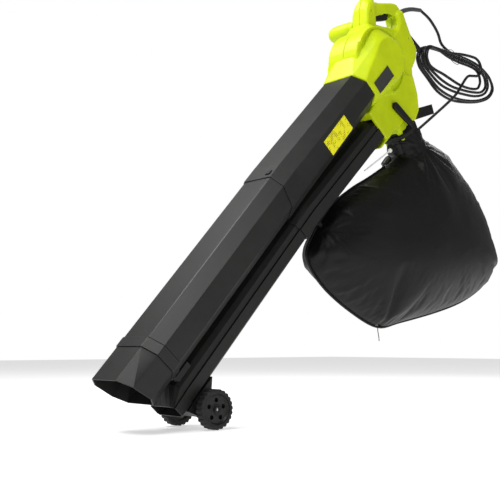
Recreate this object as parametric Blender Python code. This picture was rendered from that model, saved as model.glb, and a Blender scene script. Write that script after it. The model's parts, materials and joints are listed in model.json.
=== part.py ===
"""Leaf vacuum mulcher: twin tubes on wheels, a side-mounted fan head with a loop handle, a bag and a cord.

Metres, +Z up, +X to the tool's left, +Y to its rear. The origin is the middle of the grip, where a hand
holds it, with the tubes pitched down at their working angle.
"""

import math

import bmesh
import bpy
from mathutils import Matrix, Vector

# --- driving dimensions -------------------------------------------------------------------------
PITCH = math.radians(48.2)            # tubes below the horizontal, in use
AXLE = Vector((0.0, -0.665, -1.115))  # middle of the wheel axle
GAP = 0.0003                          # between touching pieces
WALL = 0.0025

SUCTION_MID = 0.174                   # tube centre line above the axle, square to the tube
SUCTION_HALF = (0.080, 0.054)         # half width and half height
SUCTION_CORNER = (0.031, 0.028)       # corner cut, across and down
NOZZLE_FRONT = -0.100                 # stations along the tube, measured from the axle
TUBE_FRONT = -0.017
JOINT = 0.520
COLLAR = 0.968
OVERLAP = 0.060                       # length of lower tube inside the upper one
NOZZLE_SLANT = 0.011                  # half the difference between the top and bottom of a slanted end
JOINT_SLANT = 0.016

BLOWER_HALF = 0.046
BLOWER_SIDE = (0.040, 0.071)          # bottom and top of its flat side
BLOWER_ARCH = 0.033
BLOWER_FRONT = -0.057
BLOWER_END = 0.9465
BLOWER_DROP = 0.019                   # the upper tube runs down towards the head by this much

WHEEL_R = 0.045
WHEEL_FACE = 0.083
WHEEL_WIDE = 0.024
AXLE_R = 0.004

DRUM = Vector((0.0, -0.063, -0.180))  # fan axis
DRUM_R = 0.100
DRUM_SIDES = (-0.060, 0.052)
FAN_R = 0.084
EYE_R = 0.046
MOTOR_R = 0.040

OUTLET_FROM = Vector((0.0, 0.040, -0.308))
OUTLET_TO = Vector((0.0, 0.098, -0.386))
OUTLET_HALF = (0.036, 0.043)          # half width across X and half height

ROUND = 32
SMALL_ROUND = 16

ALONG = Vector((0.0, math.cos(PITCH), math.sin(PITCH)))   # up the tube
OVER = Vector((0.0, -math.sin(PITCH), math.cos(PITCH)))   # square to the tube, away from the ground
SIDE = Vector((1.0, 0.0, 0.0))


# --- materials ----------------------------------------------------------------------------------
def material(name, colour, roughness, metallic=0.0):
    made = bpy.data.materials.new(name)
    made.use_nodes = True
    shader = made.node_tree.nodes["Principled BSDF"]
    shader.inputs["Base Color"].default_value = (*colour, 1.0)
    shader.inputs["Roughness"].default_value = roughness
    shader.inputs["Metallic"].default_value = metallic
    return made


def lime_plastic():
    return material("lime_plastic", (0.60, 0.76, 0.01), 0.38)


def black_plastic():
    return material("black_plastic", (0.035, 0.036, 0.034), 0.42)


def hard_black():
    return material("hard_black", (0.020, 0.020, 0.021), 0.5)


def rubber():
    return material("rubber", (0.015, 0.015, 0.016), 0.75)


def grey_sleeve():
    return material("grey_sleeve", (0.12, 0.12, 0.12), 0.55)


def steel():
    return material("steel", (0.55, 0.55, 0.56), 0.30, 1.0)


def copper_brown():
    return material("copper_brown", (0.45, 0.20, 0.09), 0.35, 1.0)


def fabric():
    return material("bag_fabric", (0.018, 0.018, 0.018), 0.85)


def yellow_label():
    return material("yellow_label", (0.95, 0.85, 0.02), 0.45)


def white_plastic():
    return material("white_plastic", (0.80, 0.80, 0.80), 0.40)


# --- solids -------------------------------------------------------------------------------------
def tube_point(x, a, n):
    """A point given across, up along and square to the tubes, from the axle."""
    return AXLE + SIDE * x + ALONG * a + OVER * n


def clear_scene():
    for item in list(bpy.data.objects):
        bpy.data.objects.remove(item, do_unlink=True)


def place(name, shape, finish, pivot=None, smooth=False):
    """An object of this mesh, in world coordinates, with its origin on the pivot."""
    bmesh.ops.recalc_face_normals(shape, faces=shape.faces)
    pivot = Vector(pivot) if pivot is not None else Vector((0.0, 0.0, 0.0))
    bmesh.ops.translate(shape, vec=-pivot, verts=shape.verts)
    for face in shape.faces:
        face.smooth = smooth
    mesh = bpy.data.meshes.new(name)
    shape.to_mesh(mesh)
    shape.free()
    made = bpy.data.objects.new(name, mesh)
    made.location = pivot
    bpy.context.scene.collection.objects.link(made)
    if finish is not None:
        made.data.materials.append(finish)
    return made


def loft(rings, into=None, caps=True):
    """A closed solid through rings of equal length."""
    shape = into or bmesh.new()
    made = [[shape.verts.new(point) for point in ring] for ring in rings]
    count = len(rings[0])
    for near, far in zip(made, made[1:]):
        for i in range(count):
            j = (i + 1) % count
            shape.faces.new((near[i], near[j], far[j], far[i]))
    if caps:
        shape.faces.new(list(reversed(made[0])))
        shape.faces.new(made[-1])
    return shape


def pipe(outer, inner):
    """A hollow solid, open at both ends: outer and inner rings run the same way."""
    rings = outer + list(reversed(inner))
    shape = bmesh.new()
    made = [[shape.verts.new(point) for point in ring] for ring in rings]
    count = len(rings[0])
    for k, near in enumerate(made):
        far = made[(k + 1) % len(made)]
        for i in range(count):
            j = (i + 1) % count
            shape.faces.new((near[i], near[j], far[j], far[i]))
    return shape


def circle(radius, count, start=0.0):
    steps = (start + 2 * math.pi * i / count for i in range(count))
    return [(radius * math.cos(t), radius * math.sin(t)) for t in steps]


def prism(outline, low, high):
    """A side outline in Y and Z, extruded across X."""
    return loft([[Vector((x, y, z)) for y, z in outline] for x in (low, high)])


def disc(centre, radius, low, high, count=ROUND):
    """A cylinder along X about a centre."""
    return prism([(centre.y + u, centre.z + v) for u, v in circle(radius, count)], low, high)


def turned(centre, profile, count=ROUND):
    """A solid turned about X: the profile gives x and radius from one end to the other."""
    rings = []
    for x, radius in profile:
        rings.append([Vector((x, centre.y + u, centre.z + v)) for u, v in circle(radius, count)])
    return loft(rings)


def turned_ring(centre, profile, count=ROUND):
    """A ring turned about X: its profile is a closed loop of x and radius."""
    rings = []
    for i in range(count):
        t = 2 * math.pi * i / count
        rings.append([
            Vector((x, centre.y + r * math.cos(t), centre.z + r * math.sin(t))) for x, r in profile])
    shape = bmesh.new()
    made = [[shape.verts.new(point) for point in ring] for ring in rings]
    for k, near in enumerate(made):
        far = made[(k + 1) % count]
        for i in range(len(profile)):
            j = (i + 1) % len(profile)
            shape.faces.new((near[i], near[j], far[j], far[i]))
    return shape


def block(low, high):
    """An upright box between two corners."""
    outline = [(low[1], low[2]), (high[1], low[2]), (high[1], high[2]), (low[1], high[2])]
    return prism(outline, low[0], high[0])


def tube_block(xs, along, over):
    """A box square to the tubes."""
    corners = [(along[0], over[0]), (along[1], over[0]), (along[1], over[1]), (along[0], over[1])]
    return loft([[tube_point(x, a, n) for a, n in corners] for x in xs])


def hull(points):
    shape = bmesh.new()
    for point in points:
        shape.verts.new(point)
    made = bmesh.ops.convex_hull(shape, input=shape.verts)
    loose = [v for v in made["geom_interior"] if isinstance(v, bmesh.types.BMVert)]
    loose += [v for v in shape.verts if not v.link_faces]
    bmesh.ops.delete(shape, geom=list(set(loose)), context="VERTS")
    return shape


def helper(name, shape):
    made = place(name, shape, None)
    made.hide_render = True
    made.display_type = "WIRE"
    return made


def combine(target, shape, operation):
    """Adds a Boolean with its own hidden operand."""
    other = helper(f"{target.name}_{operation.lower()}_{len(target.modifiers)}", shape)
    step = target.modifiers.new(operation.title(), "BOOLEAN")
    step.operation = operation
    step.solver = "EXACT"
    step.object = other
    return target


def cut(target, *shapes):
    for shape in shapes:
        combine(target, shape, "DIFFERENCE")
    return target


def join(target, *shapes):
    for shape in shapes:
        combine(target, shape, "UNION")
    return target


def soften(target, width, segments=2, angle=35):
    step = target.modifiers.new("Bevel", "BEVEL")
    step.width = width
    step.segments = segments
    step.limit_method = "ANGLE"
    step.angle_limit = math.radians(angle)
    return target


def softened(shape, width, segments=2, angle=35):
    """The mesh with its sharp edges rounded, for a Boolean operand."""
    bmesh.ops.recalc_face_normals(shape, faces=shape.faces)
    limit = math.radians(angle)
    sharp = [edge for edge in shape.edges if edge.is_manifold and edge.calc_face_angle(0.0) > limit]
    bmesh.ops.bevel(
        shape, geom=sharp, offset=width, offset_type="OFFSET", segments=segments, profile=0.5,
        affect="EDGES", clamp_overlap=True)
    return shape


# --- tubes --------------------------------------------------------------------------------------
def suction_section(grow, top_drop=0.0):
    """Across and over offsets of the eight-sided tube; the top can drop towards the head."""
    wide, high = SUCTION_HALF[0] + grow, SUCTION_HALF[1] + grow
    cut_x, cut_n = SUCTION_CORNER[0] + grow * 0.6, SUCTION_CORNER[1] + grow * 0.6
    top = SUCTION_MID + high - top_drop
    low = SUCTION_MID - high
    return [
        (wide, low + cut_n), (wide, top - cut_n), (wide - cut_x, top), (cut_x - wide, top),
        (-wide, top - cut_n), (-wide, low + cut_n), (cut_x - wide, low), (wide - cut_x, low)]


def suction_ring(a, grow=0.0, slant=0.0, top_drop=0.0):
    """A ring at a station; slant moves its bottom back and its top forward."""
    ring = []
    for x, n in suction_section(grow, top_drop):
        ring.append(tube_point(x, a - slant * (n - SUCTION_MID) / SUCTION_HALF[1], n))
    return ring


def nozzle_tip():
    outer = [
        suction_ring(NOZZLE_FRONT, -0.0004, NOZZLE_SLANT), suction_ring(TUBE_FRONT - GAP, -0.0004),
        suction_ring(TUBE_FRONT - GAP, -WALL - GAP), suction_ring(TUBE_FRONT + 0.022, -WALL - GAP)]
    inner = [
        suction_ring(NOZZLE_FRONT, -0.0030, NOZZLE_SLANT), suction_ring(TUBE_FRONT - 0.004, -0.0030),
        suction_ring(TUBE_FRONT - 0.003, -2 * WALL), suction_ring(TUBE_FRONT + 0.022, -2 * WALL)]
    return place("nozzle_tip", pipe(outer, inner), black_plastic())


def lower_suction_tube():
    start, end = TUBE_FRONT, JOINT + OVERLAP
    band = start + 0.026
    outer = [suction_ring(start, 0.0022), suction_ring(band, 0.0022), suction_ring(band + 0.002), suction_ring(end)]
    inner = [suction_ring(a, -WALL) for a in (start, band, band + 0.002, end)]
    return place("lower_suction_tube", pipe(outer, inner), black_plastic())


def upper_suction_tube():
    step = WALL + GAP
    start = JOINT
    sleeve_end = JOINT + OVERLAP + 0.008
    outer = [
        suction_ring(start, step, -JOINT_SLANT), suction_ring(sleeve_end, step),
        suction_ring(COLLAR, step + 0.002, 0.0, 0.012)]
    inner = [
        suction_ring(start, GAP, -JOINT_SLANT), suction_ring(sleeve_end, GAP),
        suction_ring(COLLAR, GAP + 0.002, 0.0, 0.012)]
    return place("upper_suction_tube", pipe(outer, inner), black_plastic())


def blower_section(grow, arch=BLOWER_ARCH, drop=0.0, wider=0.0):
    """The blower tube: flat bottom, short upright sides, a small ledge and an arched top."""
    half = BLOWER_HALF + grow + wider
    low, side = BLOWER_SIDE[0] - grow - drop, BLOWER_SIDE[1] - drop
    points = [(half - 0.005, low), (half, low + 0.005), (half, side)]
    ledge = half - 0.005
    count = 8
    for i in range(count + 1):
        t = math.pi * i / count
        points.append((ledge * math.cos(t), side + 0.001 + (arch + grow) * math.sin(t)))
    points += [(-half, side), (-half, low + 0.005), (0.005 - half, low)]
    return points


def blower_ring(a, grow=0.0, **shape):
    return [tube_point(x, a, n) for x, n in blower_section(grow, **shape)]


def blower_nozzle():
    seam = TUBE_FRONT + 0.003
    front = {"arch": 0.003, "wider": 0.003}
    outer = [
        blower_ring(BLOWER_FRONT, 0.0, **front), blower_ring(seam - GAP, 0.0010),
        blower_ring(seam - GAP, -WALL - GAP), blower_ring(seam + 0.018, -WALL - GAP)]
    inner = [
        blower_ring(BLOWER_FRONT, -WALL, **front), blower_ring(seam - 0.003, -WALL),
        blower_ring(seam - 0.002, -2 * WALL), blower_ring(seam + 0.018, -2 * WALL)]
    return place("blower_nozzle", pipe(outer, inner), black_plastic())


def lower_blower_tube():
    stations = (TUBE_FRONT + 0.003, JOINT + OVERLAP)
    outer = [blower_ring(a) for a in stations]
    inner = [blower_ring(a, -WALL) for a in stations]
    return place("lower_blower_tube", pipe(outer, inner), black_plastic())


def upper_blower_tube():
    step = WALL + GAP
    start = JOINT - 0.004
    bend = JOINT + OVERLAP + 0.006
    outer = [blower_ring(start, step), blower_ring(bend, step), blower_ring(BLOWER_END, step, drop=BLOWER_DROP)]
    inner = [blower_ring(start, GAP), blower_ring(bend, GAP), blower_ring(BLOWER_END, GAP, drop=BLOWER_DROP)]
    return place("upper_blower_tube", pipe(outer, inner), black_plastic())


def tube_clips():
    """Blocks that hold the two tubes together at the front and at the joint, with a latch on the left."""
    top = BLOWER_SIDE[1] + BLOWER_ARCH + 0.001
    under = SUCTION_MID - SUCTION_HALF[1]
    finish = hard_black()
    place("front_tube_clip", tube_block((-0.016, 0.016), (0.014, 0.056), (top + GAP, under - GAP)), finish)
    place("middle_tube_clip", tube_block(
        (-0.020, 0.020), (JOINT + 0.020, JOINT + 0.060),
        (top + WALL + 2 * GAP, under - WALL - 2 * GAP)), finish)
    latch = place("tube_latch", tube_block((0.030, 0.050), (-0.008, 0.040), (0.1010, under - 0.0028)), finish)
    soften(latch, 0.0015, 1)


def tube_catch():
    """The spring button that locks the lower suction tube into the upper one, on the top flat."""
    top = SUCTION_MID + SUCTION_HALF[1]
    a, half = JOINT + 0.034, 0.007
    button = tube_block((0.024, 0.040), (a - half, a + half), (top - 0.0020, top + 0.0060))
    made = place("tube_catch", button, hard_black(), tube_point(0.032, a, top))
    soften(made, 0.0012, 1)
    for name in ("lower_suction_tube", "upper_suction_tube"):
        room = tube_block((0.024 - GAP, 0.040 + GAP), (a - half - GAP, a + half + GAP), (top - 0.006, top + 0.02))
        cut(bpy.data.objects[name], room)


# --- wheels -------------------------------------------------------------------------------------
def axle_bracket():
    """A cheek block under the blower tube that carries the axle."""
    under = BLOWER_SIDE[0] - 0.0014
    outline = [(-0.040, under), (-0.026, 0.002)]
    for i in range(7):
        t = math.radians(200 + 140 * i / 6)
        outline.append((0.012 * math.cos(t), 0.012 * math.sin(t)))
    outline += [(0.026, 0.010), (0.062, under)]
    shape = loft([[tube_point(x, a, n) for a, n in outline] for x in (-0.047, 0.047)])
    made = place("axle_bracket", shape, black_plastic())
    cut(made, disc(AXLE, AXLE_R + GAP, -0.06, 0.06, SMALL_ROUND))
    for x in (-0.024, 0.024):
        cut(made, tube_block((x - 0.018, x + 0.018), (-0.022, 0.040), (0.012, under - 0.006)))


def axle():
    end = WHEEL_FACE - 0.002
    shape = turned(AXLE, [(-end, AXLE_R), (end, AXLE_R)], SMALL_ROUND)
    place("axle", shape, steel(), AXLE)


def wheel(name, sign):
    """A moulded wheel with five slots, its tyre and its push-on cap."""
    face, back = WHEEL_FACE, WHEEL_FACE - WHEEL_WIDE
    rim = WHEEL_R - 0.008
    profile = [
        (back, AXLE_R + GAP), (back, 0.010), (back + 0.006, 0.012), (back + 0.006, rim - 0.004),
        (back + 0.001, rim - 0.004), (back + 0.001, rim), (face - 0.003, rim), (face - 0.002, rim - 0.004),
        (face - 0.006, rim - 0.007), (face - 0.006, 0.013), (face - 0.004, 0.011), (face - 0.004, AXLE_R + GAP)]
    made = place(f"{name}_wheel", turned_ring(AXLE, [(sign * x, r) for x, r in profile]), black_plastic(), AXLE)
    for i in range(5):
        t = 2 * math.pi * i / 5 + 0.3
        centre = AXLE + Vector((0.0, 0.021 * math.cos(t), 0.021 * math.sin(t)))
        low, high = sorted((sign * (back - 0.01), sign * (face + 0.01)))
        cut(made, disc(centre, 0.0055, low, high, 8))
    grip = rim + GAP
    tread = [
        (back, grip), (back, WHEEL_R - 0.003), (back + 0.003, WHEEL_R), (face - 0.004, WHEEL_R),
        (face, WHEEL_R - 0.004), (face, grip)]
    place(f"{name}_tyre", turned_ring(AXLE, [(sign * x, r) for x, r in tread]), rubber(), AXLE)
    cap = turned_ring(AXLE, [
        (sign * x, r) for x, r in (
            (face - 0.0035, AXLE_R + GAP), (face - 0.0035, 0.009), (face - 0.001, 0.0085),
            (face + 0.001, 0.006), (face + 0.001, AXLE_R + GAP))], SMALL_ROUND)
    place(f"{name}_axle_cap", cap, hard_black(), AXLE)


# --- head ---------------------------------------------------------------------------------------
def arc(centre, radius, start, end, count):
    """Points on an arc, in degrees, both ends included."""
    points = []
    for i in range(count + 1):
        t = math.radians(start + (end - start) * i / count)
        points.append((centre[0] + radius * math.cos(t), centre[1] + radius * math.sin(t)))
    return points


def post_outline():
    """The post's side view through its middle."""
    return [(-0.094, -0.130), (-0.046, -0.130), (-0.046, 0.004), (-0.050, 0.018), (-0.060, 0.025),
            (-0.074, 0.020), (-0.087, 0.003), (-0.094, -0.022)]


def post():
    """The front post of the handle, with rounded shoulders."""
    shoulder = [(-0.094, -0.130), (-0.056, -0.130), (-0.056, -0.022), (-0.062, -0.008), (-0.072, -0.004),
                (-0.084, -0.014), (-0.094, -0.040)]
    points = [Vector((x, y, z)) for x in (-0.015, 0.015) for y, z in post_outline()]
    points += [Vector((x, y, z)) for x in (-0.031, 0.031) for y, z in shoulder]
    return softened(hull(points), 0.005, 1)


def bar_outline():
    return [(-0.060, -0.040), (-0.040, -0.033), (-0.016, -0.0215), (0.012, -0.0150), (0.046, -0.0135),
            (0.078, -0.012), (0.068, 0.016), (0.052, 0.029), (0.030, 0.026), (-0.026, 0.012), (-0.060, 0.010)]


def rear_outline():
    return [(0.040, -0.004), (0.050, -0.030), (0.042, -0.050), (0.020, -0.075), (0.015, -0.150),
            (0.045, -0.300), (0.091, -0.324), (0.113, -0.284), (0.097, -0.241), (0.113, -0.215),
            (0.108, -0.161), (0.125, -0.130), (0.132, -0.097), (0.099, -0.047), (0.066, 0.014)]


def web_outline():
    return [(-0.085, -0.064), (0.048, -0.055), (0.050, -0.120), (-0.085, -0.120)]


def outlet_outline():
    """The lower body: it takes the blower tube in front and the bag spout behind."""
    points = [(0.905, 0.0140), (0.948, 0.0140), (0.948, 0.108), (1.020, 0.112), (1.140, 0.110), (1.185, 0.060),
              (1.160, 0.012), (1.128, -0.024), (1.092, -0.034), (1.050, -0.004), (1.000, 0.004), (0.915, 0.008)]
    made = []
    for a, n in points:
        point = tube_point(0.0, a, n)
        made.append((point.y, point.z))
    return made


def housing_form():
    """The whole outside of the fan housing and handle, before it is split down the middle."""
    low, high = DRUM_SIDES
    base = softened(disc(DRUM, DRUM_R, low, high, 40), 0.006, 2)
    form = place("housing_form", base, None)
    join(
        form,
        post(),
        softened(prism(bar_outline(), -0.018, 0.018), 0.006, 1),
        softened(prism(rear_outline(), -0.028, 0.028), 0.007, 1),
        softened(prism(web_outline(), -0.026, 0.026), 0.004, 1),
        softened(prism(outlet_outline(), -0.050, 0.050), 0.005, 1))
    made = bake(form)
    made.hide_render = True
    made.display_type = "WIRE"
    return made


def bake(target):
    """Replaces an object's mesh with what its modifiers make."""
    bpy.context.view_layer.update()
    graph = bpy.context.evaluated_depsgraph_get()
    mesh = bpy.data.meshes.new_from_object(target.evaluated_get(graph))
    target.modifiers.clear()
    target.data = mesh
    return target


def shape_of(target):
    shape = bmesh.new()
    shape.from_mesh(target.data)
    shape.transform(target.matrix_world)
    return shape


def air_channel():
    """The passage from the fan chamber down to the blower tube."""
    outline = [(0.930, 0.026), (0.930, 0.084), (1.060, 0.094), (1.130, 0.100), (1.150, 0.060), (1.130, 0.022),
               (1.080, 0.020)]
    return loft([[tube_point(x, a, n) for a, n in outline] for x in (-0.041, 0.041)])


def spout_channel():
    """The passage from the air channel back to the bag spout."""
    down = (OUTLET_TO - OUTLET_FROM).normalized()
    across = Vector((0.0, -down.z, down.y))
    start, end = OUTLET_FROM - down * 0.060, OUTLET_TO
    half_x, half = OUTLET_HALF[0] - WALL, OUTLET_HALF[1] - WALL
    rings = []
    for centre in (start, end):
        rings.append([
            centre + SIDE * sx * half_x + across * sn * half
            for sx, sn in ((1, 1), (-1, 1), (-1, -1), (1, -1))])
    return loft(rings)


def housing_half(name, form, low, high):
    """One moulded half of the housing, hollow for the fan, the air and the switch."""
    half = place(name, shape_of(form), lime_plastic())
    keep = helper(f"{name}_half", block((low, -0.5, -0.8), (high, 0.5, 0.3)))
    step = half.modifiers.new("Half", "BOOLEAN")
    step.operation = "INTERSECT"
    step.solver = "EXACT"
    step.object = keep
    cut(half, disc(DRUM, DRUM_R - 0.006, -0.013, 0.049, 40))
    cut(half, air_channel(), spout_channel(), spout_socket())
    cut(half, block((-0.013, -0.047, -0.0190), (0.013, 0.036, 0.0040)))
    cut(half, block((-0.0075, -0.044, -0.0560), (0.0075, 0.026, -0.0100)))
    return half


def housings():
    form = housing_form()
    left = housing_half("left_housing", form, GAP / 2, 0.2)
    cut(left, disc(DRUM, EYE_R, 0.02, 0.08))
    right = housing_half("right_housing", form, -0.2, -GAP / 2)
    cut(right, disc(DRUM, MOTOR_R + GAP + 0.001, -0.08, -0.005))
    cut(left, disc(MODE_PIVOT, 0.0042, 0.015, 0.060, SMALL_ROUND))
    cut(right, disc(MODE_PIVOT, 0.0042, -0.0485, -0.015, SMALL_ROUND))
    cut(right, disc(LOCK_AT, 0.0058, -0.05, -0.0100, SMALL_ROUND))
    cut(right, disc(DIAL_AT, 0.0128, -0.05, -0.0240, SMALL_ROUND))
    for k, (y, z) in enumerate(SCREWS):
        place_screw(k, Vector((0.0, y, z)), left, right)


def hood_points(inset):
    """Corner points of the inlet hood: collar, side disc over the fan eye, and the foot of the post."""
    points = []
    front = COLLAR + GAP - (0.02 if inset else 0.0)
    for a in (front, COLLAR + 0.020):
        points += suction_ring(a, 0.0060 - inset, 0.0, 0.012)
    for radius, x in ((0.070, 0.060), (0.066, 0.080), (0.056, 0.090)):
        for u, v in circle(radius - inset, 20):
            points.append(Vector((x - inset, DRUM.y + u, DRUM.z + v)))
    if inset:
        for u, v in circle(0.066 - inset, 20):
            points.append(Vector((0.045, DRUM.y + u, DRUM.z + v)))
    foot = -0.096 + inset
    for x in (-0.031 + inset, 0.031 - inset):
        points += [Vector((x, foot, -0.078 - inset)), Vector((x, foot + 0.012, -0.078 - inset))]
    return points


def inlet_hood():
    """Carries the air from the suction tube round to the eye on the fan's left side."""
    made = place("inlet_hood", hull(hood_points(0.0)), lime_plastic())
    cut(made, hull(hood_points(0.003)))
    clearance = disc(DRUM, DRUM_R + GAP, DRUM_SIDES[0] - 0.03, DRUM_SIDES[1] + GAP, 40)
    cut(made, clearance)
    cut(made, prism(post_outline(), -0.031 - GAP, 0.031 + GAP))
    cut(made, block((-0.045, -0.104, -0.0890), (0.045, -0.050, -0.0500)))
    cut(made, block((-0.2, -0.062, -0.14), (DRUM_SIDES[1], 0.1, 0.0)))
    lower = [tube_point(0.0, a, n) for a, n in ((0.90, 0.0), (0.90, 0.1112), (1.30, 0.1177), (1.30, 0.0))]
    cut(made, prism([(p.y, p.z) for p in lower], -0.2, 0.0503))
    return made


def badge():
    """A plain dark plate that follows the side of the hood."""
    centre, half_long, half_high = (1.026, 0.153), 0.040, 0.018
    outline = []
    for u, v in ((-half_long, -half_high), (half_long, -half_high), (half_long, half_high), (-half_long, half_high)):
        point = tube_point(0.0, centre[0] + u, centre[1] + v)
        outline.append((point.y, point.z))
    made = place("badge", prism(outline, 0.060, 0.120), hard_black())
    combine(made, hull(hood_points(-0.0015)), "INTERSECT")
    cut(made, hull(hood_points(-GAP)))


def warning_label():
    """A plain yellow sticker on the left side of the upper tube."""
    start, end = JOINT + OVERLAP + 0.008, COLLAR
    step = WALL + GAP

    def face(a):
        return SUCTION_HALF[0] + step + 0.002 * (a - start) / (end - start)

    rings = []
    for lift in (GAP, 0.0010):
        corners = ((0.716, 0.140), (0.828, 0.140), (0.828, 0.185), (0.716, 0.185))
        rings.append([tube_point(face(a) + lift, a, n) for a, n in corners])
    place("warning_label", loft(rings), yellow_label())


def aux_handle():
    """The side grip: a stub off the right of the front post."""
    at = Vector((0.0, -0.073, -0.062))
    start = -0.031 - GAP
    profile = [(start, 0.0195), (start - 0.008, 0.0190), (start - 0.020, 0.0225), (-0.090, 0.0240), (-0.110, 0.0240)]
    for i in range(1, 5):
        t = math.pi / 2 * i / 5
        profile.append((-0.110 - 0.023 * math.sin(t), 0.0240 * math.cos(t)))
    made = place("aux_handle", turned(at, profile, 24), lime_plastic())
    cut(made, disc(DRUM, DRUM_R + GAP, DRUM_SIDES[0] - GAP, 0.0, 40))


def cord_hook():
    """The fin behind the handle that the hank of cord hangs over."""
    outline = [(0.1045, -0.0505), (0.1300, -0.0885), (0.1500, -0.0900), (0.1900, -0.0720), (0.2040, -0.0560),
               (0.1980, -0.0480), (0.1700, -0.0400), (0.1350, -0.0380)]
    made = place("cord_hook", prism(outline, -0.008, 0.008), hard_black())
    combine(made, prism(rear_outline(), -0.06, 0.06), "DIFFERENCE")
    soften(made, 0.002, 1)


def spout_ring(s, grow=0.0, corner=0.010):
    """A rounded rectangle square to the spout, at a distance down it."""
    down = (OUTLET_TO - OUTLET_FROM).normalized()
    across = Vector((0.0, -down.z, down.y))
    centre = OUTLET_FROM + down * s
    half_x, half = OUTLET_HALF[0] + grow, OUTLET_HALF[1] + grow
    ring = []
    for quarter, (sx, sn) in enumerate(((1, 1), (-1, 1), (-1, -1), (1, -1))):
        for u, v in arc((0.0, 0.0), corner, 90 * quarter, 90 * quarter + 90, 3):
            ring.append(centre + SIDE * (sx * (half_x - corner) + u) + across * (sn * (half - corner) + v))
    return ring


SPOUT_START = 0.020
SPOUT_END = (OUTLET_TO - OUTLET_FROM).length


def bag_spout():
    outer = [spout_ring(s) for s in (SPOUT_START, SPOUT_END)]
    inner = [spout_ring(s, -WALL, 0.008) for s in (SPOUT_START, SPOUT_END)]
    place("bag_spout", pipe(outer, inner), lime_plastic())
    collar = (SPOUT_END - 0.030, SPOUT_END + 0.002)
    outer = [spout_ring(s, GAP + 0.004, 0.013) for s in collar]
    inner = [spout_ring(s, GAP, 0.0105) for s in collar]
    place("bag_collar", pipe(outer, inner), hard_black())


def spout_socket():
    """The recess in the lower body that takes the end of the spout."""
    return loft([spout_ring(s, GAP) for s in (SPOUT_START - GAP, SPOUT_END + 0.03)])


# --- bag ----------------------------------------------------------------------------------------
BAG_EDGE = (
    (0.145, -0.3570), (0.200, -0.368), (0.281, -0.392), (0.373, -0.470), (0.440, -0.549), (0.480, -0.623),
    (0.514, -0.706), (0.505, -0.735), (0.457, -0.787), (0.357, -0.836), (0.230, -0.872), (0.058, -0.907),
    (-0.039, -0.922), (-0.146, -0.882), (-0.248, -0.821), (-0.306, -0.755), (-0.295, -0.712), (-0.200, -0.600),
    (-0.110, -0.500), (-0.030, -0.445), (0.055, -0.4240))
BAG_MIDDLE = (0.100, -0.660)
BAG_DEPTH = ((-0.130, 0.30), (-0.118, 0.55), (-0.085, 0.80), (-0.040, 0.96), (0.0, 1.0))


def bag():
    """The collecting bag, full: a pillow of two side panels."""
    depths = list(BAG_DEPTH) + [(-x, size) for x, size in reversed(BAG_DEPTH[:-1])]
    rings = []
    for x, size in depths:
        rings.append([
            Vector((x, BAG_MIDDLE[0] + (y - BAG_MIDDLE[0]) * size, BAG_MIDDLE[1] + (z - BAG_MIDDLE[1]) * size))
            for y, z in BAG_EDGE])
    place("bag", loft(rings), fabric())


def bag_hanger():
    """The hook under the blower tube and the loop of webbing that holds the front of the bag on it."""
    under = BLOWER_SIDE[0] - WALL - 2 * GAP
    hook = place("bag_hook", tube_block((-0.008, 0.008), (0.596, 0.616), (0.0145, under - 0.0022)), hard_black())
    cut(hook, tube_block((-0.0085, 0.0085), (0.600, 0.6165), (0.0185, 0.0255)))
    place("bag_loop", tube_block((-0.010, 0.010), (0.6025, 0.6125), (-0.0010, 0.0142)), fabric())


def neck_strap():
    """The free end of the webbing that draws the bag's neck tight."""
    outline = [(0.118, -0.297), (0.150, -0.268), (0.266, -0.226), (0.277, -0.254), (0.165, -0.297), (0.130, -0.318)]
    place("neck_strap", prism(outline, -0.0318, -0.0300), fabric())


def spun(points, radii, count=16):
    """A round solid along a path, each ring square to it."""
    rings = []
    for k, point in enumerate(points):
        ahead = (points[min(k + 1, len(points) - 1)] - points[max(k - 1, 0)]).normalized()
        side = SIDE if abs(ahead.x) < 0.9 else Vector((0.0, 0.0, 1.0))
        u = (side - ahead * side.dot(ahead)).normalized()
        v = ahead.cross(u)
        rings.append([point + u * p + v * q for p, q in circle(radii[k], count)])
    return loft(rings)


def zip_pull():
    """A bead on a short stiff cord at the top front of the bag."""
    start, end = Vector((0.056, -0.037, -0.433)), Vector((0.056, -0.143, -0.504))
    ahead = (end - start).normalized()
    points, radii = [], []
    for i in range(6):
        t = math.pi * (i + 0.5) / 7
        points.append(start - ahead * 0.0062 * math.cos(t))
        radii.append(0.0062 * math.sin(t))
    points += [start + ahead * 0.0065, end]
    radii += [0.0012, 0.0012]
    place("zip_pull", spun(points, radii, 12), white_plastic())


# --- cord ---------------------------------------------------------------------------------------
CORD_D = 0.0085
SLEEVE = ((0.0, 0.0775, 0.0090), (0.0, 0.105, 0.0260), (0.0, 0.140, 0.0390), (0.0, 0.182, 0.0465))
LEAD = ((0.0, 0.1845, 0.0460), (0.0, 0.228, 0.028), (0.0, 0.267, -0.003), (0.0, 0.292, -0.0345))
TAIL = ((0.0270, 0.375, -0.130), (0.0270, 0.3400, -0.168), (0.0270, 0.303, -0.208), (-0.012, 0.260, -0.262),
        (-0.060, 0.225, -0.312), (-0.098, 0.190, -0.352), (-0.110, 0.174, -0.384))
HANK = ((0.209, -0.060), (0.275, -0.044), (0.351, -0.043), (0.457, -0.046), (0.545, -0.070), (0.589, -0.109),
        (0.575, -0.150), (0.530, -0.180), (0.470, -0.195), (0.345, -0.207), (0.265, -0.195), (0.215, -0.150),
        (0.164, -0.120), (0.158, -0.098))
HANK_HALF = 0.022


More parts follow.
